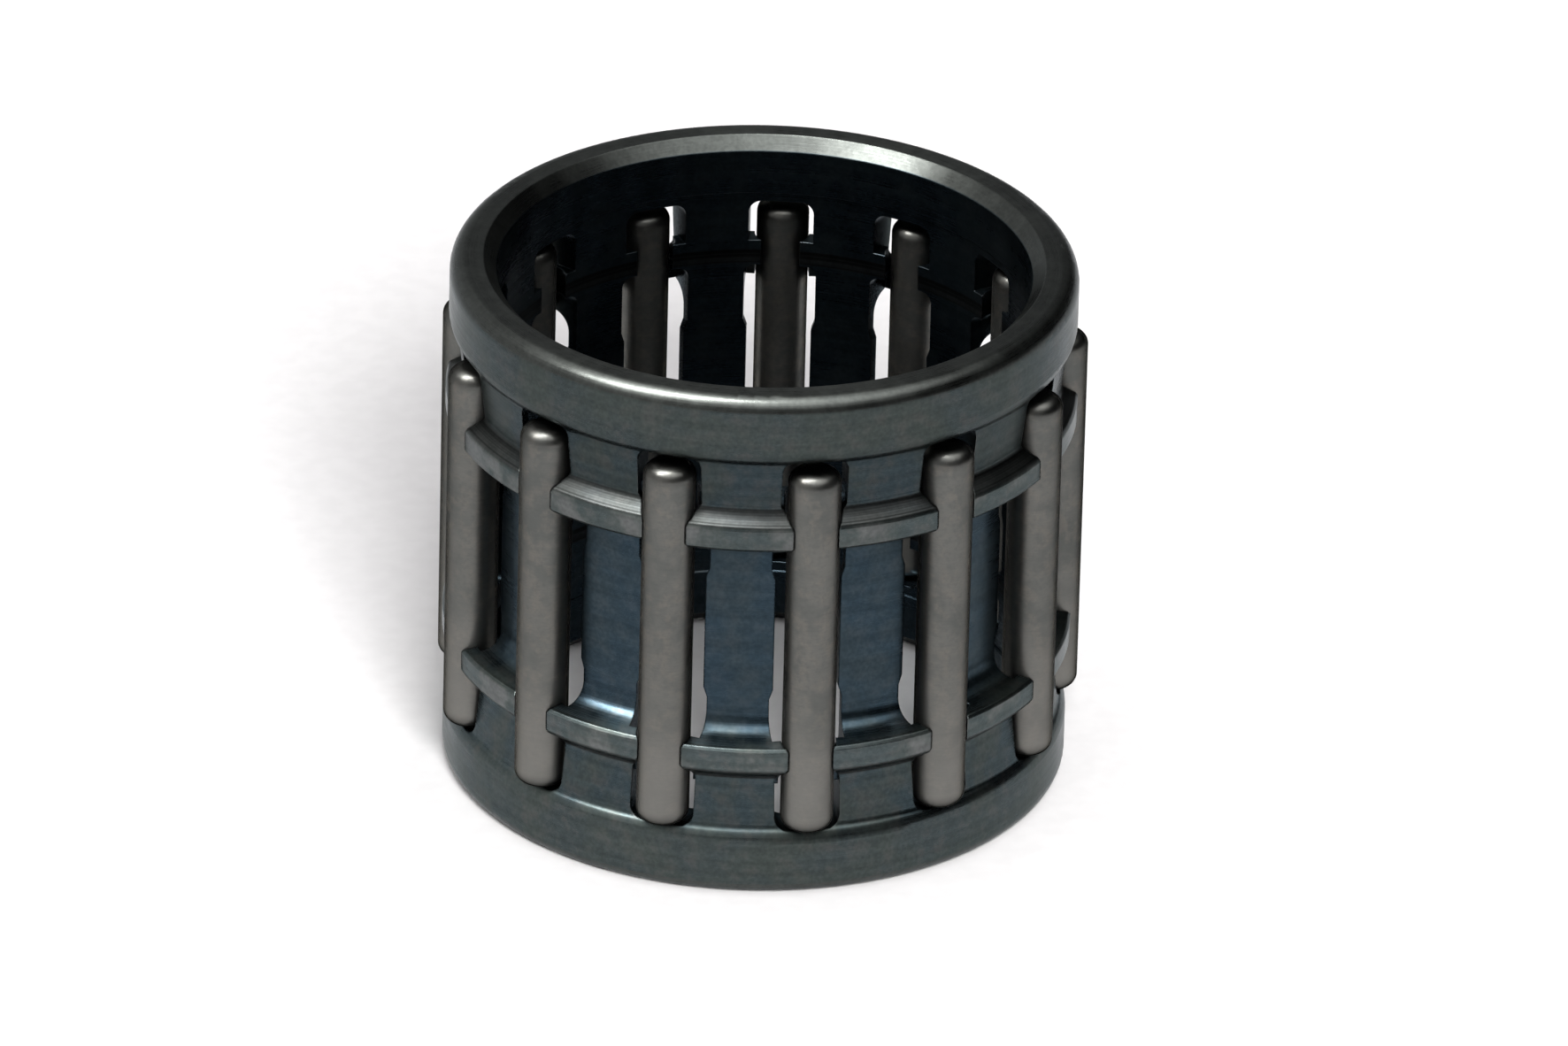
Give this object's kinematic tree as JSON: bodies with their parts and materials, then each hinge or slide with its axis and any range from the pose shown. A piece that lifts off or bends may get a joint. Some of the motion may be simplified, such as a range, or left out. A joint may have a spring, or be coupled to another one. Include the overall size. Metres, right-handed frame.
{
  "type": "needle roller bearing",
  "caption": "Needle roller and cage assembly: a cylindrical machined steel cage with a ring of loose needle rollers that each spin in their pocket around a shaft.",
  "frame": {"origin": "on the bearing's axis at mid-width of the cage", "axes": "+Z along the bearing's axis; +X through the middle of the first needle's pocket"},
  "size_m": [0.0303, 0.0306, 0.026],
  "materials": {
    "cage_steel": "black oxide, satin",
    "needle_steel": "ground bearing steel, satin"
  },
  "bodies": {
    "cage": {"cage": "cage_steel"},
    "needle_roller_01": {"needle_roller_01": "needle_steel"},
    "needle_roller_02": {"needle_roller_02": "needle_steel"},
    "needle_roller_03": {"needle_roller_03": "needle_steel"},
    "needle_roller_04": {"needle_roller_04": "needle_steel"},
    "needle_roller_05": {"needle_roller_05": "needle_steel"},
    "needle_roller_06": {"needle_roller_06": "needle_steel"},
    "needle_roller_07": {"needle_roller_07": "needle_steel"},
    "needle_roller_08": {"needle_roller_08": "needle_steel"},
    "needle_roller_09": {"needle_roller_09": "needle_steel"},
    "needle_roller_10": {"needle_roller_10": "needle_steel"},
    "needle_roller_11": {"needle_roller_11": "needle_steel"},
    "needle_roller_12": {"needle_roller_12": "needle_steel"},
    "needle_roller_13": {"needle_roller_13": "needle_steel"}
  },
  "joints": [
    {"name": "needle_roller_01_spin", "type": "hinge", "parent": "cage", "child": "needle_roller_01", "pos_m": [0.01411, 0, -0.00025], "axis": [0, 0, 1], "continuous": true},
    {"name": "needle_roller_02_spin", "type": "hinge", "parent": "cage", "child": "needle_roller_02", "pos_m": [0.01249, 0.00656, -0.00025], "axis": [0, 0, 1], "continuous": true},
    {"name": "needle_roller_03_spin", "type": "hinge", "parent": "cage", "child": "needle_roller_03", "pos_m": [0.00801, 0.01161, -0.00025], "axis": [0, 0, 1], "continuous": true},
    {"name": "needle_roller_04_spin", "type": "hinge", "parent": "cage", "child": "needle_roller_04", "pos_m": [0.0017, 0.014, -0.00025], "axis": [0, 0, 1], "continuous": true},
    {"name": "needle_roller_05_spin", "type": "hinge", "parent": "cage", "child": "needle_roller_05", "pos_m": [-0.005, 0.01319, -0.00025], "axis": [0, 0, 1], "continuous": true},
    {"name": "needle_roller_06_spin", "type": "hinge", "parent": "cage", "child": "needle_roller_06", "pos_m": [-0.01056, 0.00935, -0.00025], "axis": [0, 0, 1], "continuous": true},
    {"name": "needle_roller_07_spin", "type": "hinge", "parent": "cage", "child": "needle_roller_07", "pos_m": [-0.0137, 0.00338, -0.00025], "axis": [0, 0, 1], "continuous": true},
    {"name": "needle_roller_08_spin", "type": "hinge", "parent": "cage", "child": "needle_roller_08", "pos_m": [-0.0137, -0.00338, -0.00025], "axis": [0, 0, 1], "continuous": true},
    {"name": "needle_roller_09_spin", "type": "hinge", "parent": "cage", "child": "needle_roller_09", "pos_m": [-0.01056, -0.00935, -0.00025], "axis": [0, 0, 1], "continuous": true},
    {"name": "needle_roller_10_spin", "type": "hinge", "parent": "cage", "child": "needle_roller_10", "pos_m": [-0.005, -0.01319, -0.00025], "axis": [0, 0, 1], "continuous": true},
    {"name": "needle_roller_11_spin", "type": "hinge", "parent": "cage", "child": "needle_roller_11", "pos_m": [0.0017, -0.014, -0.00025], "axis": [0, 0, 1], "continuous": true},
    {"name": "needle_roller_12_spin", "type": "hinge", "parent": "cage", "child": "needle_roller_12", "pos_m": [0.00801, -0.01161, -0.00025], "axis": [0, 0, 1], "continuous": true},
    {"name": "needle_roller_13_spin", "type": "hinge", "parent": "cage", "child": "needle_roller_13", "pos_m": [0.01249, -0.00656, -0.00025], "axis": [0, 0, 1], "continuous": true}
  ]
}
